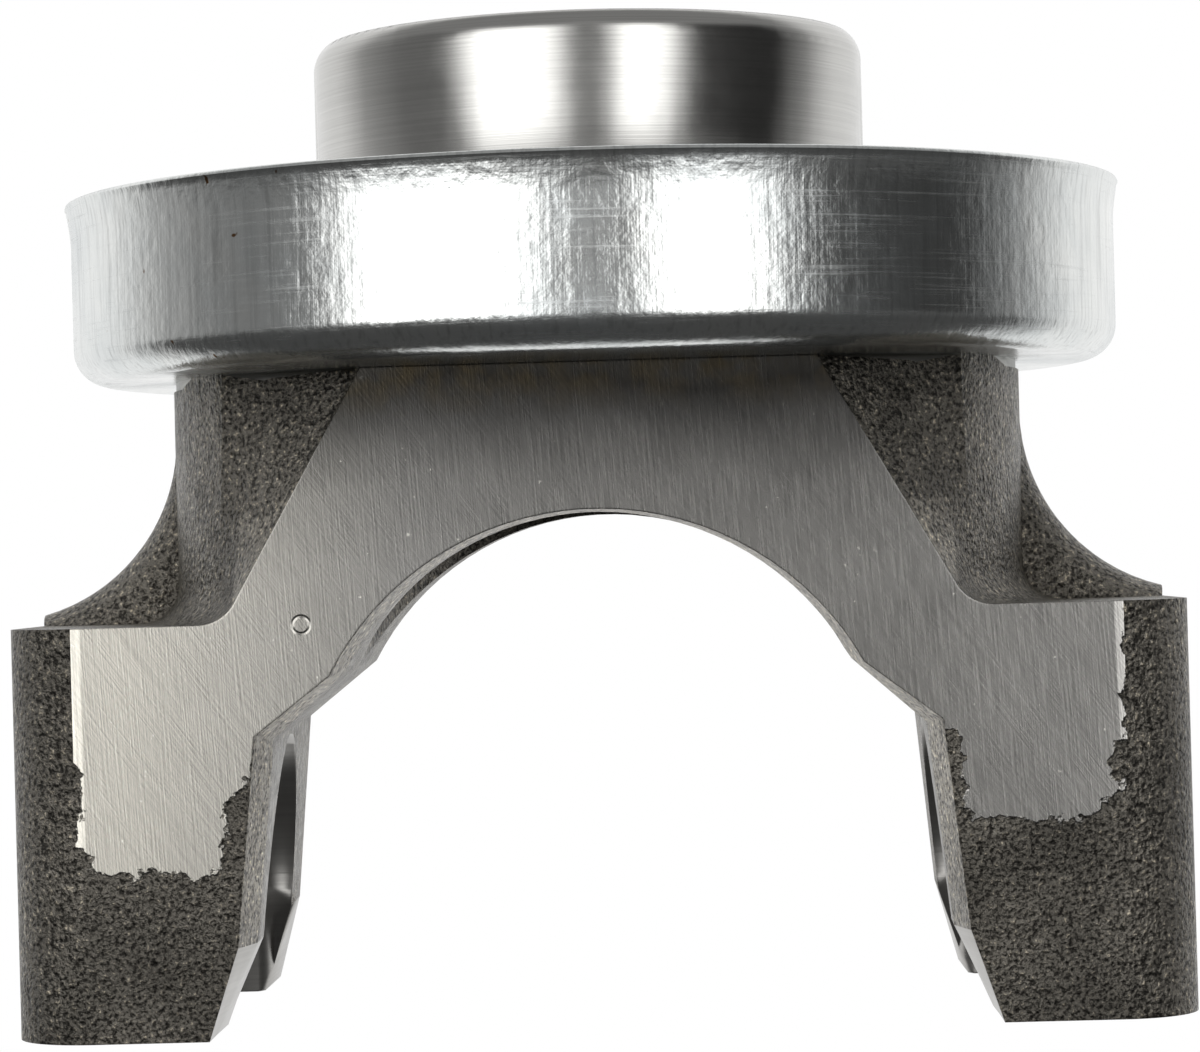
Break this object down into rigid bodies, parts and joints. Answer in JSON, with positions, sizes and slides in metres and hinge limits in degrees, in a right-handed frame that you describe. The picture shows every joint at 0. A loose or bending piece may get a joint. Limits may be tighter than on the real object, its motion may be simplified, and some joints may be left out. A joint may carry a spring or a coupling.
{
  "type": "end yoke",
  "caption": "Forged half-round end yoke with splined hub, two ears with open cap saddles and tapped leg ends, and a pressed-on steel dust slinger cup.",
  "frame": {"origin": "on the pinion axis, in the plane of the four leg ends that the yoke stands on", "axes": "+Z along the pinion axis towards the hub end, X along the cross cap axis through both ears, Y through the arch"},
  "size_m": [0.1164, 0.1094, 0.0998],
  "materials": {
    "forged_steel": "rough forged skin, dark oxide, with satin milled and ground faces",
    "zinc_sheet": "bright zinc plate over drawn sheet, light scuffs"
  },
  "bodies": {
    "root": {"yoke_forging": "forged_steel", "dust_slinger": "zinc_sheet"}
  },
  "joints": []
}
